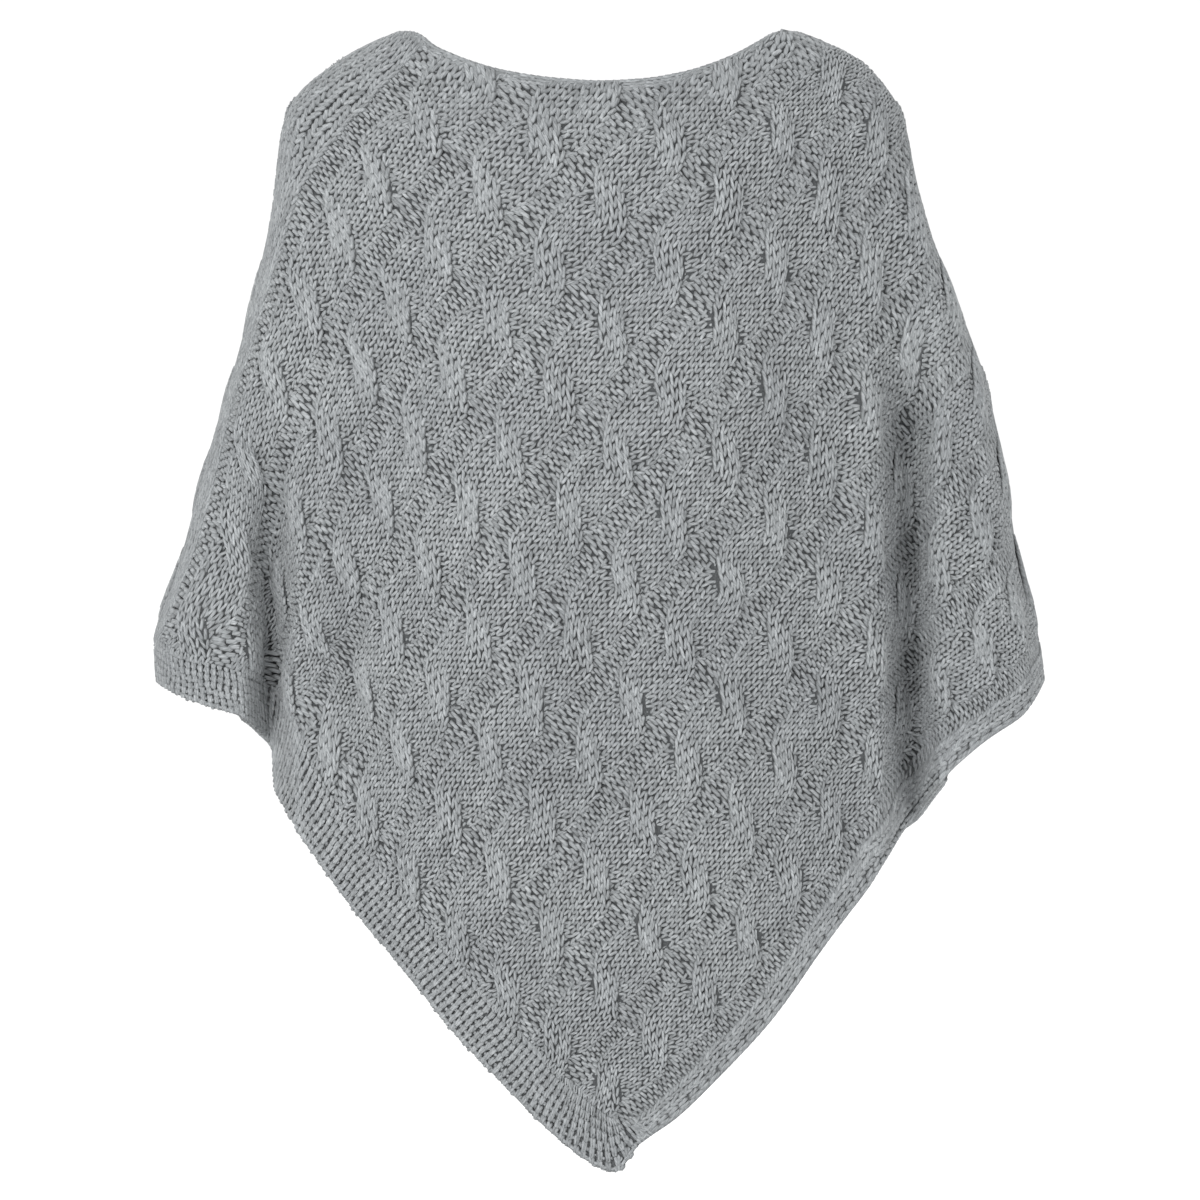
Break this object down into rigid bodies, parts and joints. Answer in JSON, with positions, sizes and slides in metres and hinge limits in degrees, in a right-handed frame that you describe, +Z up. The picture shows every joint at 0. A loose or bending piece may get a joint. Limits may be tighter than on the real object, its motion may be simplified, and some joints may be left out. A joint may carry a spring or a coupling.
{
  "type": "knitted poncho sweater",
  "caption": "Cable knit poncho filled out as worn, with points in front and behind, a wide boat neck, a ribbed and a plain edge on each point, and open corners for the forearms.",
  "frame": {"origin": "in the middle of the neck opening, level with the tops of the shoulders, where the wearer holds the garment up", "axes": "+Z up, -Y to the garment's front, +X to the wearer's left; the side seams lie in the plane Y = 0"},
  "size_m": [0.6427, 0.2453, 0.8132],
  "materials": {
    "cable_knit": "matte heathered grey yarn, cables with purl gutters",
    "rib_knit": "matte heathered grey yarn, narrow rib",
    "plain_knit": "matte heathered grey yarn, plain stitches with a chained edge",
    "neck_edge": "matte heathered grey yarn, rolled bind-off"
  },
  "bodies": {
    "root": {"front_panel": "cable_knit", "back_panel": "cable_knit", "front_rib_hem": "rib_knit", "back_rib_hem": "rib_knit", "front_plain_hem": "plain_knit", "back_plain_hem": "plain_knit", "front_neck_band": "neck_edge", "back_neck_band": "neck_edge"}
  },
  "joints": []
}
